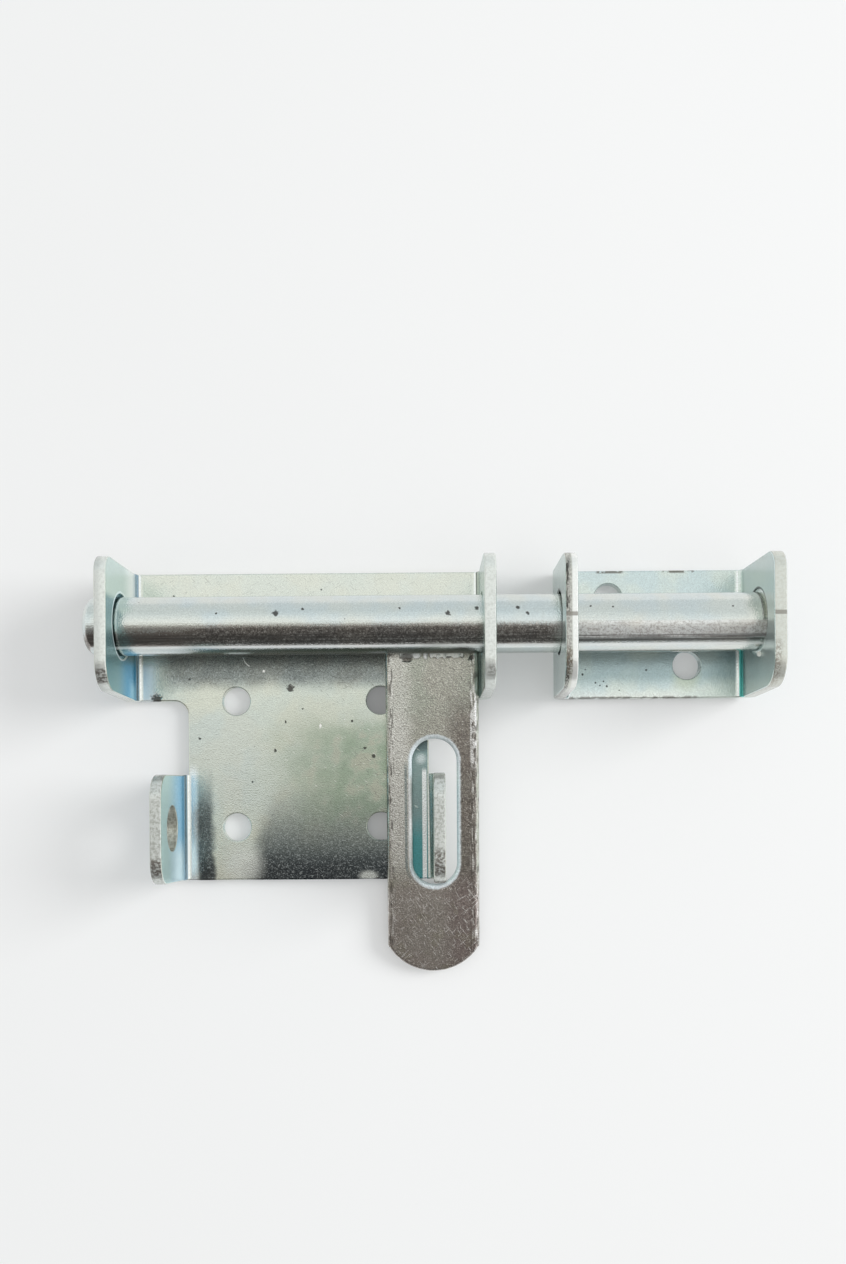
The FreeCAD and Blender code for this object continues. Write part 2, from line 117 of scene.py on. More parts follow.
class Tree:
    """A node tree that is filled by one method."""

    def __init__(self, tree):
        self.tree = tree
        tree.nodes.clear()

    def put(self, socket, value):
        """Link a value to a socket, or set the socket to a number or a colour."""
        if isinstance(value, Value):
            self.tree.links.new(value.socket, socket)
        elif isinstance(value, tuple) and socket.type == "RGBA":
            socket.default_value = value + (1.0,)
        else:
            socket.default_value = value

    def node(self, kind, settings, inputs, output=0):
        """A new node with its settings and inputs, as one of its outputs; stops fill a colour ramp."""
        made = self.tree.nodes.new(kind)
        for key, value in settings.items():
            if key == "stops":
                for at, colour in value[1:-1]:
                    made.color_ramp.elements.new(at)
                for element, (at, colour) in zip(made.color_ramp.elements, value):
                    element.position = at
                    element.color = colour + (1.0,)
            else:
                setattr(made, key, value)
        for key, value in inputs.items():
            self.put(made.inputs[key], value)
        return Value(self, made.outputs[output]) if made.outputs else made

    def split(self, vector):
        first = self.node("ShaderNodeSeparateXYZ", {}, {0: vector})
        return [first, first.also(1), first.also(2)]

    def mix(self, amount, first, second):
        return self.node("ShaderNodeMix", {"data_type": "RGBA", "clamp_factor": True},
                         {0: amount, 6: first, 7: second}, 2)


class Finish(Tree):
    """One procedural material, built on object coordinates in millimetres."""

    def __init__(self, name):
        self.material = bpy.data.materials.new(name)
        self.material.use_nodes = True
        super().__init__(self.material.node_tree)
        self.surface = self.node("ShaderNodeBsdfPrincipled", {}, {})
        self.shader = self.surface.socket.node
        self.end = self.node("ShaderNodeOutputMaterial", {}, {0: self.surface})
        metres = self.node("ShaderNodeTexCoord", {}, {}, "Object")
        self.place = self.node("ShaderNodeVectorMath", {"operation": "SCALE"},
                               {0: metres, "Scale": 1.0 / MM})
        self.x, self.y, self.z = self.split(self.place)
        self.nx, self.ny, self.nz = self.split(self.node("ShaderNodeNewGeometry", {}, {}, "Normal"))

    def shade(self, colour, amount):
        """The colour multiplied by a number that changes over the surface."""
        return self.node("ShaderNodeVectorMath", {"operation": "SCALE"}, {0: colour, "Scale": amount})

    def grain(self, size, detail=3.0, stretch=(1.0, 1.0, 1.0), shift=(0.0, 0.0, 0.0)):
        """Noise from about 0 to 1 with grains of that many millimetres."""
        where = self.node("ShaderNodeMapping", {}, {"Vector": self.place, "Location": shift,
                                                    "Scale": tuple(1.0 / s for s in stretch)})
        return self.node("ShaderNodeTexNoise", {},
                         {"Vector": where, "Scale": 1.0 / size, "Detail": detail})

    def streaks(self, across, along, axis):
        """Noise drawn out along one axis, for drawn, rolled and sheared steel."""
        stretch = [across] * 3
        stretch["xyz".index(axis)] = along
        return self.grain(1.0, 3.0, tuple(stretch))

    def dots(self, spacing, radius, share, shift=(0.0, 0.0, 0.0)):
        """Scattered round marks: 1 inside a mark, with only that share of the cells filled."""
        where = self.node("ShaderNodeMapping", {}, {"Vector": self.place, "Location": shift})
        distance = self.node("ShaderNodeTexVoronoi", {}, {"Vector": where, "Scale": 1.0 / spacing})
        chance = self.split(distance.also("Color"))[0]
        edge = radius / spacing
        return distance.step(edge, edge * 0.5) * chance.step(share, share - 0.02)

    def dashes(self, length, width, angle, share, shift=(0.0, 0.0, 0.0)):
        """Short straight scratches in one direction, angle in degrees from X."""
        where = self.node("ShaderNodeMapping", {"vector_type": "TEXTURE"},
                          {"Vector": self.place, "Location": shift,
                           "Rotation": (0.0, 0.0, radians(angle)), "Scale": (length, width, width)})
        lines = self.node("ShaderNodeTexNoise", {}, {"Vector": where, "Scale": 1.0, "Detail": 0.0})
        return lines.step(share, share + 0.05)

    def spot(self, x, y, z, radius, soft, flat=1.0):
        """A soft round patch at one place; flat above 1 shortens it along Y."""
        return self.spot_distance(x, y, z, flat).step(radius + soft, radius)

    def spot_distance(self, x, y, z, flat=1.0):
        dx = self.x - x
        dy = (self.y - y) * flat
        dz = self.z - z
        return (dx * dx + dy * dy + dz * dz) ** 0.5

    def feed(self, **inputs):
        """Put values into the shader's inputs, an underscore standing for a space in a name."""
        for name, value in inputs.items():
            self.put(self.shader.inputs[name.replace("_", " ")], value)


def either(*masks):
    """1 where any of the masks is 1."""
    left = 1.0 - masks[0]
    for mask in masks[1:]:
        left = left * (1.0 - mask)
    return 1.0 - left


def dress(piece, finish):
    piece.data.materials.clear()
    piece.data.materials.append(finish.material)


# Camera straight above the bolt, floor, lamp and surroundings

def place_camera():
    data = bpy.data.cameras.new("overhead_camera")
    data.sensor_width = 36.0
    data.lens = 30.68
    data.shift_y = 0.1187
    camera = bpy.data.objects.new("overhead_camera", data)
    scene.collection.objects.link(camera)
    above_x, above_y, height = 34.56, -5.51, 312.6
    camera.location = (above_x * MM, above_y * MM, height * MM)
    turned, tipped = -0.42, 0.32
    turn = Matrix.Rotation(radians(turned), 3, "Z") @ Matrix.Rotation(radians(tipped), 3, "Y")
    camera.rotation_euler = turn.to_euler()
    scene.camera = camera


def lay_floor():
    """White paper, lit partly by itself so that it stays pale; painted shadow inside the right screw holes
    and painted light on the paper under the hasp's slot.
    """
    bpy.ops.object.select_all(action="DESELECT")
    bpy.ops.mesh.primitive_plane_add(size=6.0, location=(0, 0, -0.0001))
    floor = bpy.context.object
    floor.name = "floor"
    paper = Finish("floor_paper")
    tone = paper.grain(180.0, 1.0)
    sheet = paper.mix(tone, (0.86, 0.86, 0.855), (0.89, 0.89, 0.89))
    # painted shadow on the paper inside the two right screw holes
    shaded = either(0.65 * paper.spot(SCREW_X, SCREW_Y, 0.0, 5.0, 2.0),
                    0.5 * paper.spot(SCREW_X, -SCREW_Y, 0.0, 5.0, 2.0))
    paper.feed(Roughness=0.9, Specular_IOR_Level=0.0)
    paper.feed(Base_Color=paper.mix(shaded, sheet, (0.0, 0.0, 0.0)))
    seen = paper.node("ShaderNodeLightPath", {}, {}, "Is Camera Ray")
    white = paper.node("ShaderNodeEmission", {}, {"Color": (0.89, 0.905, 0.91), "Strength": 1.0})
    # painted light: the paper under the hasp's slot glows more
    slot_painted_light = paper.x.band(32.0, 43.0, 1.0) * paper.y.band(-33.0, 6.0, 2.0)
    far_away = paper.spot(35.0, 0.0, 0.0, 300.0, 900.0).step(1.0, 0.0)
    glow = 0.24 + 0.22 * slot_painted_light - 0.10 * shaded + 0.70 * far_away
    both = paper.node("ShaderNodeMixShader", {}, {0: glow * either(seen, seen.also("Is Glossy Ray")),
                                                  1: paper.surface, 2: white})
    paper.put(paper.end.inputs[0], both)
    dress(floor, paper)


def light_it():
    """A wide soft window far to the right, which the steel doesn't mirror as a disc."""
    data = bpy.data.lights.new("window", "AREA")
    data.shape = "DISK"
    data.size = 1.2
    data.energy = 33.0
    lamp = bpy.data.objects.new("window", data)
    scene.collection.objects.link(lamp)
    lamp.location = (1.90, 0.46, 1.20)
    aim = Vector((0.03, 0.0, 0.0)) - lamp.location
    lamp.rotation_euler = aim.to_track_quat("-Z", "Y").to_euler()
    lamp.visible_glossy = False


def surround():
    """Even pale light; the steel mirrors a room that is pale behind, dark in front, bright on the right."""
    world = bpy.data.worlds.new("room")
    scene.world = world
    world.use_nodes = True
    room = Tree(world.node_tree)
    x, y, z = room.split(room.node("ShaderNodeTexCoord", {}, {}, "Generated"))
    pale = room.mix(x.step(-0.7, 0.7), (1.0, 0.99, 0.965), (0.97, 1.0, 1.02))
    even = room.node("ShaderNodeBackground", {}, {0: pale, 1: 0.35 + 0.73 * z * z + 0.08 * x})
    behind_to_front = [
        (0.0, (0.72, 0.76, 0.77)), (0.12, (0.70, 0.75, 0.76)), (0.23, (0.81, 0.86, 0.87)),
        (0.33, (0.91, 0.94, 0.93)), (0.43, (1.0, 1.0, 0.98)), (0.475, (0.94, 0.95, 0.92)),
        (0.50, (0.84, 0.84, 0.80)), (0.525, (0.62, 0.61, 0.57)), (0.555, (0.41, 0.385, 0.36)),
        (0.61, (0.25, 0.23, 0.215)), (0.70, (0.18, 0.17, 0.16)), (0.95, (0.16, 0.16, 0.155)),
        (1.0, (0.16, 0.165, 0.16))]
    rightwards = x.step(0.08, 0.22)
    ramp = room.node("ShaderNodeValToRGB", {"stops": behind_to_front},
                     {0: 0.5 - 0.5 * y - 0.12 * rightwards})
    lighter = room.mix(0.16 * rightwards, ramp, (0.90, 0.93, 0.93))
    window = x.step(0.42, 0.60) * y.step(-0.75, -0.45)
    mirrored = room.node("ShaderNodeBackground", {}, {0: room.mix(window, lighter, (1.0, 1.0, 1.0))})
    in_steel = room.node("ShaderNodeLightPath", {}, {}, "Is Glossy Ray")
    both = room.node("ShaderNodeMixShader", {}, {0: in_steel, 1: even, 2: mirrored})
    backdrop = room.node("ShaderNodeBackground", {}, {0: (0.90, 0.90, 0.90), 1: 1.0})
    all_three = room.node("ShaderNodeMixShader", {},
                          {0: in_steel.also("Is Camera Ray"), 1: both, 2: backdrop})
    room.node("ShaderNodeOutputWorld", {}, {0: all_three})


# Steel pieces from the CAD solids, with their cut edges broken

def only(piece):
    bpy.ops.object.select_all(action="DESELECT")
    piece.select_set(True)
    bpy.context.view_layer.objects.active = piece


def start_with_no_edge():
    bpy.ops.object.mode_set(mode="EDIT")
    bpy.ops.mesh.select_mode(type="EDGE")
    bpy.ops.mesh.select_all(action="DESELECT")


def bevel_chosen(width, segments):
    bpy.ops.object.mode_set(mode="EDIT")
    bpy.ops.mesh.bevel(offset=width, segments=segments, affect="EDGES")
    bpy.ops.object.mode_set(mode="OBJECT")


def roll_rim(piece, low, high, width):
    """Round the edges inside one box more than the rest, as a punched rim is."""
    start_with_no_edge()
    bpy.ops.object.mode_set(mode="OBJECT")
    inside = [all(l <= c <= h for l, c, h in zip(low, corner.co, high))
              for corner in piece.data.vertices]
    for edge in piece.data.edges:
        edge.select = all(inside[end] for end in edge.vertices)
    bevel_chosen(width, 4)


def in_hole(place, holes, margin=0.9):
    """True where a place lies in or close round a hole: axis letter, its middle, its radius, in mm."""
    for axis, first, second, radius in holes:
        across = [i for i in range(3) if i != "xyz".index(axis)]
        off = [place[i] / MM - middle for i, middle in zip(across, (first, second))]
        if (off[0] ** 2 + off[1] ** 2) ** 0.5 < radius + margin:
            return True
    return False


def break_edges(piece, width, angle, holes):
    """Round the sharp edges; the rims of the holes are round already."""
    start_with_no_edge()
    bpy.ops.mesh.edges_select_sharp(sharpness=radians(angle))
    bpy.ops.object.mode_set(mode="OBJECT")
    corners = piece.data.vertices
    for edge in piece.data.edges:
        middle = (corners[edge.vertices[0]].co + corners[edge.vertices[1]].co) / 2.0
        edge.select = edge.select and not in_hole(middle, holes)
    bevel_chosen(width, 3)


def steel_from(node, name, width, angle=55.0, holes=(), rolled=None):
    """A merged copy of a CAD node, its edges above an angle rounded by a small bevel."""
    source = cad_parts[node]
    piece = bpy.data.objects.new(name, source.data.copy())
    scene.collection.objects.link(piece)
    only(piece)
    bpy.ops.object.mode_set(mode="EDIT")
    bpy.ops.mesh.select_all(action="SELECT")
    bpy.ops.mesh.remove_doubles(threshold=0.002 * MM)
    bpy.ops.mesh.dissolve_limited(angle_limit=radians(0.3))
    bpy.ops.object.mode_set(mode="OBJECT")
    if rolled:
        roll_rim(piece, *rolled)
    break_edges(piece, width, angle, holes)
    bpy.ops.object.shade_smooth_by_angle(angle=radians(32))
    # no corner may leave the box of the CAD node
    lowest, highest = [[pick(corner.co[i] for corner in source.data.vertices) for i in range(3)]
                       for pick in (min, max)]
    for corner in piece.data.vertices:
        corner.co = [min(max(c, low), high) for low, c, high in zip(lowest, corner.co, highest)]
    weighted = piece.modifiers.new("normals", "WEIGHTED_NORMAL")
    weighted.keep_sharp = True
    bpy.ops.object.modifier_apply(modifier="normals")
    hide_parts(node)
    return piece


# Zinc plating

def plain_zinc(name, cool, warm, rough):
    """The plating that every piece has: cloudy tint, fine speckle and grain."""
    zinc = Finish(name)
    clouds = zinc.grain(11.0, 2.0)
    zinc.fine = zinc.grain(0.36, 2.0)
    zinc.speck = zinc.grain(0.8, 4.0, shift=(2.0, 7.0, 3.0))
    zinc.coarse = zinc.grain(1.9, 3.0, shift=(5.0, 2.0, 1.0))
    zinc.colour = zinc.mix(clouds.step(0.40, 0.60), cool, warm)
    zinc.rough = rough + 0.12 * (zinc.grain(4.0, 3.0) - 0.5)
    zinc.height = zinc.fine + 0.35 * zinc.coarse
    zinc.metal = 1.0
    return zinc


def stain(zinc, amount, colour):
    """Lay a colour over the finish as far as amount says, from 0 to 1."""
    zinc.colour = zinc.mix(amount, zinc.colour, colour)


def fine_speckle(zinc):
    """The finest grain of the plating, from the noise that the relief is made of."""
    return 0.6 * zinc.fine + 0.4 * zinc.speck


def pits(zinc, places, depth=2.0):
    """Small dark pits at chosen places: x, y, z and radius in millimetres."""
    ragged = 1.8 * (zinc.grain(0.6, 2.0, shift=(9.0, 9.0, 9.0)) - 0.5)
    holes = either(*[(zinc.spot_distance(x, y, z) / radius + ragged).step(1.1, 0.55)
                     for x, y, z, radius in places])
    stain(zinc, holes * 0.9, (0.06, 0.055, 0.05))
    zinc.height = zinc.height - holes * depth


def finish_zinc(zinc, relief=0.04, speckle=0.4):
    """Scattered dark and bright specks, then everything into the shader; relief in millimetres."""
    small = zinc.dots(3.1, 0.22, 0.10)
    stain(zinc, small * 0.75, (0.10, 0.095, 0.09))
    glints = zinc.dots(4.3, 0.20, 0.09, (7.0, 3.0, 5.0))
    stain(zinc, glints * 0.8, (0.93, 0.93, 0.92))
    zinc.colour = zinc.shade(zinc.colour, 1.0 - 0.5 * speckle + speckle * zinc.fine)
    bump = zinc.node("ShaderNodeBump", {},
                     {"Strength": 1.0, "Distance": relief * MM, "Height": zinc.height})
    zinc.feed(Base_Color=zinc.colour, Metallic=zinc.metal, Roughness=zinc.rough, Normal=bump)
    return zinc


def folded(zinc, top, bend_top):
    """Masks of a folded sheet: its flat floor, walls, sheared edges, bends and bar holes."""
    zinc.steep = abs(zinc.nx)
    zinc.flat = zinc.z.step(top + 0.35, top + 0.1) * zinc.steep.step(0.30, 0.12)
    dy, dz = zinc.y - BAR_HOLE_Y, zinc.z - BAR_HOLE_Z
    zinc.from_bar = (dy * dy + dz * dz) ** 0.5
    upper = zinc.z.step(bend_top, bend_top + 1.0)
    off_hole = zinc.from_bar.step(BAR_HOLE_RADIUS + 0.4, BAR_HOLE_RADIUS + 0.8)
    zinc.cut = zinc.steep.step(0.75, 0.5) * upper * off_hole
    zinc.wall = zinc.steep.step(0.90, 0.985) * (1.0 - zinc.cut)
    low = zinc.z.band(top + 0.15, bend_top + 0.2, 0.12)
    zinc.foot = zinc.steep.band(0.62, 0.95, 0.06) * low
    zinc.bend = zinc.steep.band(0.16, 0.48, 0.10) * low
    above_floor = zinc.z.step(5.0, 6.0)
    zinc.hole_wall = zinc.from_bar.step(BAR_HOLE_RADIUS + 0.1, BAR_HOLE_RADIUS + 0.04) * above_floor
    zinc.hole_rim = zinc.from_bar.band(BAR_HOLE_RADIUS + 0.08, BAR_HOLE_RADIUS + 0.55, 0.06) * above_floor


# Backplate

def backplate_floor(zinc):
    """The plate itself: dull green in the middle; painted dark reflection and painted shade, speckled,
    along its front edge, at the left lug's foot and under the bar; painted highlights at the feet of the
    left lug and of the left ear.
    """
    x, y, flat, wave = zinc.x, zinc.y, zinc.flat, zinc.wave
    cast = zinc.grain(4.5, 3.0, shift=(5.0, 5.0, 0.0))
    dull = flat * (x + 16.0 * wave).step(-24.0, 6.0) * (y + 10.0 * wave).step(27.0, 2.0)
    stain(zinc, dull * 0.68, (0.49, 0.535, 0.45))
    green = flat * (x + 16.0 * wave).step(-14.0, 14.0) * (y + 8.0 * wave).band(-12.0, 6.0, 10.0)
    stain(zinc, green * (0.42 + 0.40 * cast.step(0.34, 0.66)), (0.31, 0.40, 0.30))
    stain(zinc, green * cast.step(0.48, 0.34) * 0.30, (0.55, 0.48, 0.40))
    blue = flat * (x + 10.0 * wave).step(-8.0, -20.0) * y.band(-10.0, 12.0, 6.0)
    stain(zinc, blue * 0.35, (0.60, 0.67, 0.68))
    # painted dark reflection and painted shade: along the front edge, at the foot of the left lug and under
    # the bar, with light and dark specks
    slant = x - 0.22 * (y + 33.0) + 8.0 * wave
    front = flat * (y + 10.0 * wave).step(-3.0, -30.0) * slant.step(-20.0, -14.0)
    lug_foot = flat * (x + 4.0 * wave).band(-31.4, -28.6, 1.9) * (y + 6.0 * wave).step(1.0, -16.0)
    under_bar = flat * (y + 3.0 * wave).band(25.5, 30.5, 5.6)
    under_bar = under_bar * x.step(-46.0, -38.0) * x.step(25.0, 21.0)
    zinc.dark = either(front, lug_foot * 0.95, under_bar * 0.76)
    stain(zinc, zinc.dark * (0.93 + 0.30 * wave), (0.085, 0.105, 0.115))
    darkest = either(front, lug_foot) * (y + 4.0 * wave).step(-23.0, -31.0)
    stain(zinc, darkest * 0.75, (0.03, 0.035, 0.04))
    stain(zinc, zinc.dark * zinc.tiny.step(0.50, 0.64) * 0.42, (0.62, 0.67, 0.68))
    stain(zinc, zinc.dark * zinc.tiny.step(0.48, 0.38) * 0.5, (0.04, 0.045, 0.05))
    # pale places: two spots on the front edge; painted highlights at the feet of the left lug and of the
    # left ear
    pale = either(zinc.spot(-19.0, -29.0, PLATE_TOP, 2.0, 6.0),
                  zinc.spot(17.0, -32.4, PLATE_TOP, 1.2, 2.4, 1.6))
    stain(zinc, flat * pale * 0.7, (0.84, 0.88, 0.85))
    stain(zinc, flat * x.step(-31.2, -33.0) * y.step(1.0, -3.0) * 0.85, (0.88, 0.93, 0.96))
    zinc.by_left_ear = flat * (x + 3.0 * wave).step(-42.0, -45.5) * y.step(31.0, 27.0)
    stain(zinc, zinc.by_left_ear * 0.75, (0.80, 0.85, 0.88))


def backplate_under_slot(zinc):
    """Painted shade in dark teal on the plate under the hasp, where it shows through the slot, darkest at
    its rear end, with a painted glint and one painted highlight line at the staple's bend.
    """
    x, y = zinc.x, zinc.y
    strip = zinc.flat * x.step(25.0, 27.0) * y.step(9.0, 7.0)
    stain(zinc, strip * 0.78, (0.22, 0.33, 0.35))
    stain(zinc, strip * (y + 6.0 * zinc.wave).step(-12.0, -24.0) * 0.75, (0.06, 0.33, 0.35))
    stain(zinc, strip * y.step(2.4, 4.6) * 0.7, (0.08, 0.11, 0.12))
    # a painted glint, and a painted highlight line at the staple's bend
    stain(zinc, strip * zinc.spot(32.3, 1.2, PLATE_TOP, 0.4, 1.8) * 0.6, (0.78, 0.86, 0.88))
    stain(zinc, strip * x.band(32.7, 33.7, 0.25) * y.step(-1.0, -3.0) * 0.9, (0.95, 0.98, 1.0))


def backplate_walls(zinc):
    """Ears and lugs: grey-green, turning teal and blue towards their feet, partly plating tint and partly
    painted reflection; painted highlights in the bends and a painted shade line at the right ear's foot.
    """
    x, y, z = zinc.x, zinc.y, zinc.z
    stain(zinc, zinc.wall * 0.85, (0.52, 0.66, 0.63))
    # the teal, blue and white colours below are partly plating tint and partly painted reflection
    zinc.left_wall = zinc.wall * x.step(-40.0, -45.0)
    left_wall = zinc.left_wall
    stain(zinc, left_wall * y.band(27.0, 43.0, 2.5) * 0.88, (0.13, 0.28, 0.30))
    stain(zinc, left_wall * y.step(29.0, 25.0) * 0.9, (0.15, 0.36, 0.40))
    stain(zinc, left_wall * y.step(31.0, 27.0) * z.step(23.0, 11.0) * 0.98, (0.03, 0.34, 0.58))
    stain(zinc, left_wall * y.step(25.0, 21.0) * z.step(13.0, 7.0) * 0.6, (0.45, 0.80, 0.95))
    stain(zinc, left_wall * y.step(44.0, 47.0) * z.step(18.0, 7.0) * 0.8, (0.92, 0.96, 0.94))
    lug_wall = zinc.wall * x.band(-45.0, -30.0, 2.0) * y.step(0.0, -4.0)
    stain(zinc, lug_wall * 0.8, (0.54, 0.78, 0.77))
    stain(zinc, lug_wall * z.step(25.0, 8.0) * 0.92, (0.13, 0.46, 0.72))
    stain(zinc, lug_wall * y.step(-19.0, -27.0) * z.step(24.0, 12.0) * 0.75, (0.78, 0.96, 1.0))
    right_foot = zinc.foot * x.step(40.0, 43.0)
    zinc.metal = 1.0 - 0.45 * either(zinc.wall, zinc.cut, zinc.by_left_ear, right_foot)
    stain(zinc, zinc.foot * x.step(20.0, 10.0) * 0.75, (0.16, 0.30, 0.42))
    near_staple = x.band(33.0, 40.0, 1.0) * y.step(0.0, -3.0)
    stain(zinc, zinc.wall * near_staple * 0.8, (0.62, 0.71, 0.63))
    stain(zinc, right_foot * 0.8, (0.62, 0.70, 0.62))
    # painted shade: a dark line in the crease at the right ear's foot
    dark_line = right_foot * zinc.steep.band(0.64, 0.72, 0.03) * y.step(44.0, 46.0)
    stain(zinc, dark_line * 0.9, (0.05, 0.06, 0.055))
    stain(zinc, zinc.flat * y.step(44.5, 46.0) * 0.4, (0.80, 0.82, 0.76))
    # painted highlight in the bends
    stain(zinc, zinc.bend * 0.85, (0.93, 0.96, 0.95))


def backplate_edges(zinc):
    """The sheared edges of ears and lugs, and the walls of the holes in them; the bar hole's wall painted
    lighter against its shade, painted highlights on its rim.
    """
    x, y, z, cut = zinc.x, zinc.y, zinc.z, zinc.cut
    shear = zinc.grain(0.8, 4.0, (1.0, 1.0, 0.5))
    on_lugs = y.step(6.0, 0.0)
    stain(zinc, cut * 0.85, (0.83, 0.86, 0.83))
    stain(zinc, cut * on_lugs * 0.35, (0.50, 0.53, 0.52))
    stain(zinc, cut * zinc.tiny.step(0.44, 0.60) * (0.40 + 0.35 * on_lugs), (0.33, 0.34, 0.31))
    stain(zinc, cut * x.step(-50.2, -51.6) * 0.4, (0.45, 0.47, 0.46))
    # painted light: the bar hole's wall painted lighter against its shade, painted highlights on its rim
    # and on the ring round the bar
    stain(zinc, zinc.hole_wall * 0.95, (0.50, 0.72, 0.76))
    stain(zinc, zinc.hole_rim * x.band(-49.8, -45.0, 0.2) * 0.9, (0.85, 0.97, 1.0))
    bright_ring = zinc.left_wall * zinc.from_bar.band(8.9, 9.5, 0.10) * z.step(17.0, 20.0)
    stain(zinc, bright_ring * 0.85, (0.80, 0.96, 1.0))
    padlock_hole = z.step(5.5, 6.5) * y.band(-24.0, -11.0, 2.0) * zinc.steep.step(0.5, 0.3)
    padlock_hole = padlock_hole * z.step(27.0, 25.5)
    stain(zinc, padlock_hole * 0.85, (0.52, 0.53, 0.46))
    stain(zinc, padlock_hole * zinc.tiny.step(0.45, 0.56) * 0.6, (0.20, 0.21, 0.16))
    # torn brown patches near the front ends of the edges
    left_ear = x.step(-45.0, -48.0) * y.band(21.4, 24.2, 0.8)
    right_ear = 0.8 * x.step(49.4, 50.6) * y.band(22.6, 24.2, 1.3)
    left_lug = y.band(-29.6, -26.0, 1.2) * x.step(40.0, -20.0)
    staple = x.step(30.0, 34.0) * y.band(-29.0, -24.5, 2.5)
    torn = cut * either(left_ear, right_ear, left_lug, staple) * shear.step(0.38, 0.56)
    stain(zinc, torn * (0.85 - 0.25 * x.step(40.0, 45.0)), (0.13, 0.11, 0.095))
    zinc.height = zinc.height + 0.8 * cut * shear


def backplate_marks(zinc):
    """Marks of handling on the plate: pits, tangled scratches and a curl; and two painted glints."""
    x, y, flat = zinc.x, zinc.y, zinc.flat
    seen_pits = [(-5.1, 21.8, 1.1), (-43.7, 18.9, 1.6), (-31.2, 7.4, 0.40), (-1.6, 15.8, 0.25),
                 (-9.5, 3.8, 0.5), (18.8, 2.0, 0.55), (-6.5, 12.1, 0.35), (16.2, 4.3, 0.45),
                 (-16.2, -5.2, 0.35), (-34.0, 24.5, 0.3), (12.6, 12.2, 0.3), (27.0, 47.0, 0.5),
                 (4.0, 50.0, 0.3), (-38.5, 48.4, 0.35)]
    pits(zinc, [(px, py, PLATE_TOP, radius) for px, py, radius in seen_pits])
    tangle = either(zinc.spot(16.0, 27.0, PLATE_TOP, 3.0, 6.0),
                    zinc.spot(8.0, 21.0, PLATE_TOP, 2.0, 5.0),
                    zinc.spot(17.0, -2.0, PLATE_TOP, 4.0, 8.0), 0.25 * y.step(46.0, 47.0))
    lines = either(zinc.dashes(2.4, 0.30, 25.0, 0.74),
                   zinc.dashes(2.0, 0.28, -50.0, 0.74, (9.0, 2.0, 0.0)))
    stain(zinc, flat * (0.15 + 0.75 * tangle) * lines * 0.6, (0.20, 0.21, 0.19))
    light_lines = zinc.dashes(1.6, 0.28, -35.0, 0.79, (6.0, 1.0, 0.0))
    stain(zinc, flat * light_lines * (1.0 - zinc.dark) * 0.5, (0.90, 0.92, 0.88))
    curl = abs(zinc.spot_distance(-15.5, 31.0, PLATE_TOP) - 3.08).step(0.22, 0.10)
    stain(zinc, flat * curl * x.step(-16.6, -16.9) * y.step(30.9, 30.6) * 0.9, (0.90, 0.92, 0.90))
    # two painted glints
    glints = either(zinc.spot(-12.7, 26.7, PLATE_TOP, 0.25, 0.2),
                    zinc.spot(3.5, 10.9, PLATE_TOP, 0.22, 0.25, 0.6))
    stain(zinc, flat * glints * 0.9, (0.98, 0.98, 0.96))


def backplate_finish():
    zinc = plain_zinc("backplate_zinc", (0.71, 0.77, 0.71), (0.74, 0.77, 0.68), 0.22)
    folded(zinc, PLATE_TOP, PLATE_BEND_TOP)
    zinc.wave = zinc.grain(7.0, 4.0, shift=(3.0, 9.0, 0.0)) - 0.5
    zinc.tiny = fine_speckle(zinc)
    backplate_floor(zinc)
    backplate_under_slot(zinc)
    backplate_walls(zinc)
    backplate_edges(zinc)
    backplate_marks(zinc)
    return finish_zinc(zinc)


# Bar

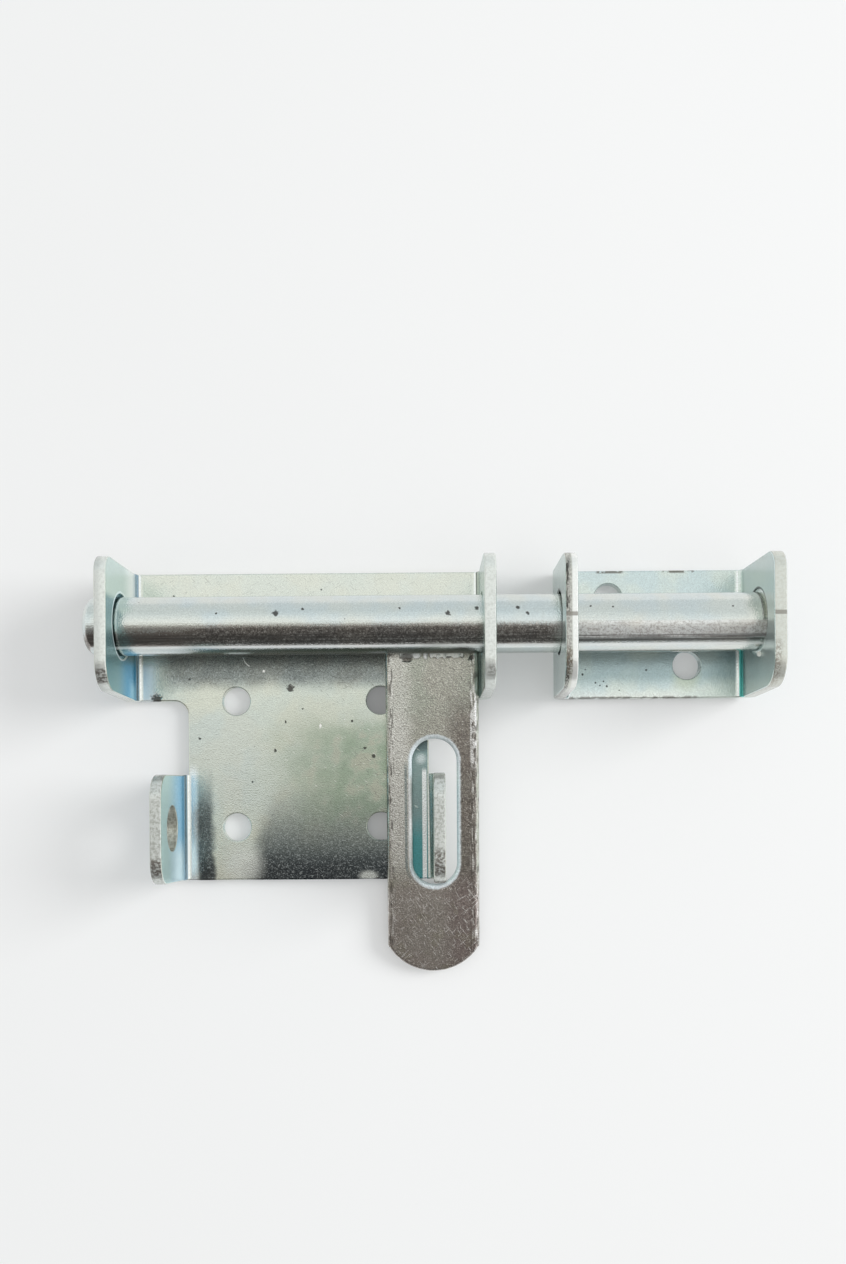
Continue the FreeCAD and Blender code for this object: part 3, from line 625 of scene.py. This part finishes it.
def bar_finish():
    """Drawn round steel; ny is 1 on its rear flank, -1 on its front flank and 0 on its crest."""
    zinc = plain_zinc("bar_zinc", (0.70, 0.76, 0.76), (0.74, 0.77, 0.73), 0.13)
    x, ny = zinc.x, zinc.ny
    tiny = fine_speckle(zinc)
    drawn = zinc.streaks(0.35, 18.0, "x")
    in_keep = x.step(66.0, 74.0)
    by_ear = x.step(-24.0, -34.0)
    # brown-black speckle over a painted dark reflection band on the front flank, thinner and paler inside
    # the keep and near the left ear
    ragged_ny = ny + 0.55 * (zinc.fine - 0.5) + 0.15 * (zinc.speck - 0.5) + 0.18 * by_ear
    belt = ragged_ny.step(-0.10, -0.20) * ny.step(-0.81, -0.77) * (1.0 - 0.75 * in_keep)
    stain(zinc, belt * (0.55 + 0.25 * by_ear), (0.34, 0.29, 0.26))
    rough_part = belt * (1.0 - 0.7 * by_ear) * ny.step(-0.80, -0.72)
    stain(zinc, rough_part * tiny.step(0.48, 0.56) * 0.7, (0.12, 0.105, 0.10))
    stain(zinc, rough_part * tiny.step(0.45, 0.38) * 0.8, (1.0, 1.0, 0.97))
    stain(zinc, belt * ny.band(-0.66, -0.46, 0.10) * drawn.step(0.42, 0.54) * 0.6, (0.10, 0.09, 0.085))
    # painted dark reflection on the front flank towards the left end
    under = ny.step(-0.865, -0.90) * (1.0 - in_keep) * x.step(-40.0, -22.0)
    stain(zinc, under * 0.6, (0.20, 0.25, 0.24))
    # painted paler reflection on a stretch in the keep, with dark and light specks, and thin dark lines at
    # its lower side
    sheen_and_specks_in_keep = in_keep * ny.band(-0.58, -0.12, 0.08)
    stain(zinc, sheen_and_specks_in_keep * 0.40, (0.93, 0.91, 0.88))
    stain(zinc, sheen_and_specks_in_keep * tiny.step(0.49, 0.57) * 0.55, (0.30, 0.26, 0.24))
    stain(zinc, sheen_and_specks_in_keep * tiny.step(0.45, 0.38) * 0.5, (1.0, 1.0, 0.98))
    thin_lines = ny.band(-0.60, -0.54, 0.05) * drawn.step(0.44, 0.52)
    thin_lines = thin_lines + ny.band(-0.69, -0.66, 0.03) * 0.8
    stain(zinc, in_keep * thin_lines * 0.7, (0.10, 0.095, 0.09))
    # painted highlight line low on the front flank, pale and dark streaks of drawing, a warm blush in the
    # keep
    low_highlight = ny.band(-0.835, -0.775, 0.02)
    stain(zinc, low_highlight * (0.35 + 0.5 * drawn), (0.92, 0.94, 0.93))
    zinc.metal = 1.0 - 0.5 * either(sheen_and_specks_in_keep, low_highlight)
    stain(zinc, drawn.step(0.55, 0.75) * 0.30, (0.86, 0.89, 0.89))
    stain(zinc, drawn.step(0.42, 0.25) * 0.25, (0.46, 0.51, 0.53))
    blush = zinc.grain(16.0, 2.0, shift=(40.0, 0.0, 0.0)).step(0.5, 0.7) * in_keep
    stain(zinc, blush * 0.35, (0.82, 0.74, 0.60))
    pits(zinc, [(-6.1, 40.0, 25.2, 1.0), (1.0, 41.0, 24.8, 0.45), (39.9, 39.5, 25.3, 0.8),
                (47.6, 40.9, 24.8, 0.6), (58.6, 40.9, 24.8, 0.6), (61.1, 39.4, 25.3, 0.6),
                (-22.0, 40.0, 25.2, 0.35), (27.0, 41.0, 24.8, 0.4), (78.0, 41.2, 24.7, 0.35),
                (84.0, 41.0, 24.8, 0.3), (116.0, 40.9, 24.8, 0.25)], 1.0)
    zinc.height = zinc.height + 0.8 * zinc.speck * belt + 0.5 * drawn
    return finish_zinc(zinc)


# Hasp and its weld

def hasp_top(zinc):
    """The upper face: pale on the left, brown on the right and towards its round end."""
    x, y, top, wave = zinc.x, zinc.y, zinc.top, zinc.wave
    right = top * (x + 4.0 * wave).step(37.0, 43.5) * (y + 10.0 * wave).step(26.0, 8.0)
    stain(zinc, right * 0.72, (0.27, 0.225, 0.205))
    stain(zinc, right * zinc.speck.step(0.46, 0.58) * 0.45, (0.13, 0.11, 0.105))
    left = top * (x + 4.0 * wave).step(32.0, 26.5) * y.step(-36.0, -24.0)
    stain(zinc, left * (0.50 + 0.30 * y.step(20.0, 8.0)), (0.93, 0.94, 0.90))
    stain(zinc, zinc.round_end * 0.50, (0.47, 0.38, 0.375))
    blotch = zinc.grain(5.0, 3.0, shift=(2.0, 2.0, 0.0))
    stain(zinc, y.step(-22.0, -34.0) * blotch.step(0.54, 0.66) * 0.35, (0.42, 0.40, 0.30))
    stain(zinc, top * zinc.fine.step(0.56, 0.74) * 0.35, (0.84, 0.86, 0.82))
    stain(zinc, top * zinc.fine.step(0.42, 0.28) * 0.35, (0.24, 0.22, 0.20))


def hasp_sides(zinc):
    """The rolled outer sides: streaky, dark in places, with a painted highlight line on the right."""
    x, y = zinc.x, zinc.y
    outer = either(x.step(25.2, 24.2), x.step(45.6, 46.8))
    streaky = zinc.streaks(0.45, 4.5, "y")
    ragged = zinc.grain(1.6, 3.0, (0.7, 1.8, 1.0))
    stain(zinc, outer * (0.6 * streaky + 0.4 * ragged).step(0.50, 0.60) * 0.75, (0.14, 0.13, 0.12))
    stain(zinc, outer * streaky.step(0.46, 0.34) * 0.75, (0.94, 0.94, 0.92))
    # painted highlight line along the right side
    bright = x.band(46.4, 47.8, 0.35) * y.band(1.0, 19.0, 4.0)
    stain(zinc, bright * ragged.step(0.60, 0.42) * 0.9, (0.97, 0.98, 0.98))
    zinc.height = zinc.height + 0.6 * streaky * outer


def hasp_slot(zinc):
    """The punched slot's rolled rim, with painted highlights and reflections: white and teal on the left,
    blue on the right; a painted shade line beside it on the left.
    """
    x, y, nx = zinc.x, zinc.y, zinc.nx
    past_end = (abs(y - SLOT_Y) - SLOT_STRAIGHT / 2.0).maths("MAXIMUM", 0.0)
    off_centre = x - SLOT_X
    from_slot = (off_centre * off_centre + past_end * past_end) ** 0.5
    # painted highlights and reflections on the rolled rim
    rim = (from_slot + 0.5 * (zinc.speck - 0.5)).step(7.7, 7.0) * zinc.nz.step(-0.5, -0.2)
    stain(zinc, rim * 0.9, (0.82, 0.90, 0.95))
    stain(zinc, rim * y.step(3.0, 6.0) * 0.6, (0.55, 0.60, 0.60))
    stain(zinc, rim * x.step(33.0, 31.0) * y.band(-27.0, -5.0, 1.0) * 0.9, (1.0, 1.0, 1.0))
    stain(zinc, rim * nx.step(0.86, 0.95) * 0.7, (0.20, 0.36, 0.42))
    stain(zinc, rim * nx.step(-0.30, -0.60) * y.band(-28.0, -8.0, 4.0) * 0.5, (0.46, 0.58, 0.74))
    # painted shade line on the top face beside the slot's left side
    shade_line = zinc.top * from_slot.band(7.9, 8.3, 0.3) * x.step(31.0, 29.5)
    shade_line = shade_line * (y + 8.0 * zinc.wave).band(-30.0, -2.0, 3.0)
    stain(zinc, shade_line * 0.6, (0.20, 0.30, 0.32))
    zinc.metal = 1.0 - 0.6 * rim


def hasp_marks(zinc):
    """Scratches, densest at the round end, two pits and the crater beside the weld."""
    scratches = either(zinc.dashes(3.4, 0.30, -55.0, 0.70),
                       zinc.dashes(2.8, 0.28, 40.0, 0.71, (3.0, 5.0, 0.0)),
                       zinc.dashes(2.6, 0.28, 100.0, 0.74, (8.0, 1.0, 0.0)))
    stain(zinc, scratches * (zinc.round_end + 0.25) * 0.8, (0.88, 0.86, 0.84))
    pits(zinc, [(46.6, 29.1, HASP_TOP, 0.85), (29.4, 26.6, HASP_TOP, 0.4)])
    crater = zinc.spot(28.6, 28.6, HASP_TOP, 0.9, 1.0, 2.4)
    stain(zinc, crater * 0.8, (0.12, 0.11, 0.10))
    zinc.height = zinc.height - 2.0 * crater


def hasp_finish():
    zinc = plain_zinc("hasp_zinc", (0.53, 0.56, 0.49), (0.54, 0.54, 0.48), 0.22)
    zinc.top = zinc.nz.step(0.9, 0.97)
    zinc.round_end = zinc.y.step(-28.0, -40.0)
    zinc.wave = zinc.grain(6.0, 3.0, shift=(8.0, 1.0, 0.0)) - 0.5
    hasp_top(zinc)
    hasp_sides(zinc)
    hasp_slot(zinc)
    hasp_marks(zinc)
    return finish_zinc(zinc, 0.06, 1.1)


def weld_finish():
    """Chips of weld metal painted near white, partly their own brightness and partly painted highlight,
    black where the bead is low and in the crater beside it.
    """
    # near white: partly the weld metal's own brightness, partly painted highlight
    zinc = plain_zinc("weld_zinc", (0.97, 0.98, 0.95), (0.95, 0.96, 0.90), 0.30)
    low = (zinc.z + 0.8 * (zinc.speck - 0.5)).step(13.0, 12.7)
    hollow = zinc.spot(28.6, 29.4, 12.5, 1.4, 1.0, 1.5)
    stain(zinc, either(low, hollow) * 0.85, (0.10, 0.095, 0.085))
    zinc.metal = 0.1
    return finish_zinc(zinc, 0.06)


# Keep

def keep_sheet(zinc):
    """The keep's floor and walls: painted shade under the bar, a painted teal reflection line at the foot
    of its far ear, a painted shade arc on the rear of the bar hole's rim, white bends that are painted
    highlights.
    """
    x, y, z, flat = zinc.x, zinc.y, zinc.z, zinc.flat
    # painted shade on the keep's floor under the bar
    under_bar = flat * (y + 2.0 * zinc.wave).band(25.0, 31.0, 5.0)
    stain(zinc, under_bar * 0.60, (0.20, 0.30, 0.32))
    stain(zinc, flat * x.step(111.0, 104.0) * y.step(21.0, 18.6) * 0.45, (0.93, 0.94, 0.90))
    stain(zinc, flat * zinc.spot(108.5, 24.0, KEEP_TOP, 1.5, 4.0) * 0.4, (0.55, 0.60, 0.42))
    stain(zinc, zinc.wall * 0.85, (0.56, 0.66, 0.64))
    stain(zinc, zinc.wall * z.step(26.0, 10.0) * y.band(22.0, 36.0, 6.0) * 0.5, (0.26, 0.36, 0.37))
    # painted reflection: a teal line at the foot of the far ear
    stain(zinc, zinc.foot * zinc.far * y.step(36.0, 34.0) * 0.9, (0.10, 0.60, 0.56))
    zinc.metal = 1.0 - 0.40 * either(zinc.wall, zinc.cut)
    stain(zinc, zinc.hole_wall * 0.95, (0.62, 0.68, 0.66))
    # painted shade: a black arc on the rear of the bar hole's rim, in the gap round the bar
    stain(zinc, zinc.hole_rim * y.step(31.0, 35.0) * 0.9, (0.03, 0.035, 0.035))
    # painted highlight in the bends
    stain(zinc, zinc.bend * 0.75, (0.92, 0.95, 0.95))


def keep_edges(zinc):
    """The sheared edges: the near ear has a rough grey half with a black burr, and a smooth white half."""
    x, y, z, cut = zinc.x, zinc.y, zinc.z, zinc.cut
    near = x.step(77.0, 75.0)
    stain(zinc, cut * 0.88, (0.72, 0.73, 0.665))
    grey_half = cut * near * x.step(72.3, 71.7) * y.step(24.0, 25.0)
    stain(zinc, grey_half * 0.45, (0.45, 0.44, 0.41))
    stain(zinc, grey_half * zinc.tiny.step(0.44, 0.56) * 0.75, (0.26, 0.25, 0.23))
    torn = zinc.streaks(0.30, 1.5, "y")
    burr = cut * near * (x + 1.6 * zinc.wave + 1.8 * (torn - 0.5)).step(71.6, 71.2)
    burr = burr * either(y.band(39.0, 51.0, 2.0), y.step(29.0, 27.0)) * torn.step(0.40, 0.52)
    stain(zinc, burr * 0.95, (0.04, 0.038, 0.035))
    stain(zinc, cut * zinc.far * zinc.tiny.step(0.46, 0.58) * 0.3, (0.38, 0.35, 0.29))
    stain(zinc, cut * near * x.step(71.9, 72.4) * 0.8, (0.96, 0.97, 0.95))
    near_worn = near * x.step(72.4, 71.8) * y.band(23.0, 28.0, 2.0)
    far_worn = x.step(120.0, 122.0) * y.band(20.5, 29.0, 3.0) * x.step(126.6, 125.6)
    worn = cut * (0.9 * near_worn + 0.55 * far_worn) * zinc.tiny.step(0.44, 0.54)
    stain(zinc, worn, (0.20, 0.17, 0.13))
    # the line left by the shears across both ears, nicks along the rear edge, a ragged front edge
    shear_line = cut * z.step(31.0, 32.5) * y.band(37.5, 38.3, 0.25)
    stain(zinc, shear_line * 0.75, (0.25, 0.23, 0.20))
    nicks = either(x.band(83.5, 90.0, 1.0), x.band(102.5, 111.0, 1.0))
    nicks = y.step(53.7, 54.2) * z.step(1.5, 2.5) * nicks
    stain(zinc, nicks * zinc.coarse.step(0.38, 0.5) * 0.85, (0.16, 0.14, 0.12))
    front_line = y.step(18.9, 18.4) * zinc.coarse.step(0.40, 0.52) * x.step(112.0, 111.0)
    stain(zinc, front_line * 0.7, (0.30, 0.29, 0.27))
    zinc.height = zinc.height + 0.8 * cut * zinc.grain(0.7, 4.0) - shear_line


def keep_finish():
    zinc = plain_zinc("keep_zinc", (0.66, 0.76, 0.76), (0.72, 0.79, 0.74), 0.22)
    folded(zinc, KEEP_TOP, KEEP_BEND_TOP)
    zinc.wave = zinc.grain(7.0, 3.0, shift=(1.0, 6.0, 0.0)) - 0.5
    zinc.tiny = fine_speckle(zinc)
    zinc.far = zinc.x.step(108.0, 111.0)
    keep_sheet(zinc)
    keep_edges(zinc)
    seen_pits = [(78.8, 25.0, 0.3), (82.5, 22.6, 0.25), (83.8, 21.8, 0.25), (85.8, 21.6, 0.3),
                 (84.8, 23.0, 0.2), (89.3, 20.4, 0.25), (79.6, 26.4, 0.2), (97.0, 26.2, 0.3)]
    pits(zinc, [(x, y, KEEP_TOP, radius) for x, y, radius in seen_pits])
    return finish_zinc(zinc)


# Small forms of weld metal and zinc

def weld_lumps():
    """The bead as it was laid: ragged puddles in the corner of bar and hasp, with gaps between them."""
    puddles = [(27.3, 0.6, 0.8), (29.0, 0.3, 1.6), (30.9, 1.2, 0.6), (31.7, 1.4, 0.7), (33.8, 1.3, 0.6),
               (35.5, 1.1, 0.5), (36.5, 0.7, 0.6), (37.4, 1.3, 0.5), (38.2, 0.8, 0.5), (38.9, 1.5, 0.5),
               (40.2, 0.4, 0.9), (41.7, 1.2, 0.7), (42.8, 1.3, 0.7), (44.0, 0.5, 0.6)]
    bpy.ops.object.select_all(action="DESELECT")
    made = []
    for x, tall, wide in puddles:
        place = (x * MM, (29.8 + 0.15 * sin(x * 5.0)) * MM, (12.4 + 0.3 * tall) * MM)
        bpy.ops.mesh.primitive_uv_sphere_add(segments=24, ring_count=16, radius=MM, location=place)
        lump = bpy.context.object
        lump.scale = (wide * 1.1, 0.95, 0.35 + 0.55 * tall)
        lump.rotation_euler = (radians(38.0), 0.0, radians(14.0 * sin(x * 2.3)))
        made.append(lump)
    for lump in made:
        lump.select_set(True)
    bpy.context.view_layer.objects.active = made[0]
    bpy.ops.object.join()
    bead = bpy.context.object
    bead.name = "weld_metal"
    bpy.ops.object.transform_apply(location=True, rotation=True, scale=True)
    remesh = bead.modifiers.new("one_skin", "REMESH")
    remesh.mode = "VOXEL"
    remesh.voxel_size = 0.22 * MM
    bpy.ops.object.modifier_apply(modifier="one_skin")
    for corner in bead.data.vertices:
        corner.co += corner.normal * noise.noise(corner.co * 900.0) * 0.22 * MM
    bpy.ops.object.shade_smooth()
    return bead


def zinc_drip():
    """The bead of zinc that hangs beside the hole in the keep's far ear."""
    bpy.ops.object.select_all(action="DESELECT")
    bpy.ops.mesh.primitive_uv_sphere_add(segments=20, ring_count=14, radius=0.75 * MM,
                                         location=(124.15 * MM, 28.5 * MM, 20.8 * MM))
    drip = bpy.context.object
    drip.name = "zinc_drip"
    bpy.ops.object.mode_set(mode="EDIT")
    bpy.ops.transform.resize(value=(0.9, 1.0, 1.25), center_override=drip.location)
    bpy.ops.object.mode_set(mode="OBJECT")
    bpy.ops.object.transform_apply(location=True, rotation=True, scale=True)
    bpy.ops.object.shade_smooth()
    return drip


place_camera()
lay_floor()
light_it()
surround()

slot_rim = ((27.5 * MM, -42.0 * MM, 11.5 * MM), (43.5 * MM, 8.5 * MM, 13.0 * MM), 1.3 * MM)
plate = steel_from("backplate", "backplate_steel", 0.45 * MM, holes=PLATE_HOLES)
bar = steel_from("bolt_bar", "bar_steel", 0.6 * MM, 20.0)
hasp = steel_from("hasp", "hasp_steel", 0.8 * MM, rolled=slot_rim)
keep = steel_from("keep", "keep_steel", 0.45 * MM, holes=KEEP_HOLES)
bead = weld_lumps()
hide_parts("weld_bead")
drip = zinc_drip()
weld_zinc = weld_finish()
pieces = [(plate, "backplate", backplate_finish(), "backplate_zinc"),
          (bar, "bolt", bar_finish(), "bolt_bar_zinc"),
          (hasp, "hasp", hasp_finish(), "hasp_zinc"),
          (keep, "keep", keep_finish(), "keep_zinc"),
          (bead, "hasp", weld_zinc, "weld_bead_zinc"),
          (drip, "keep", weld_zinc, "keep_zinc")]
for piece, body, finish, slot in pieces:
    dress(piece, finish)
    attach(piece, body)
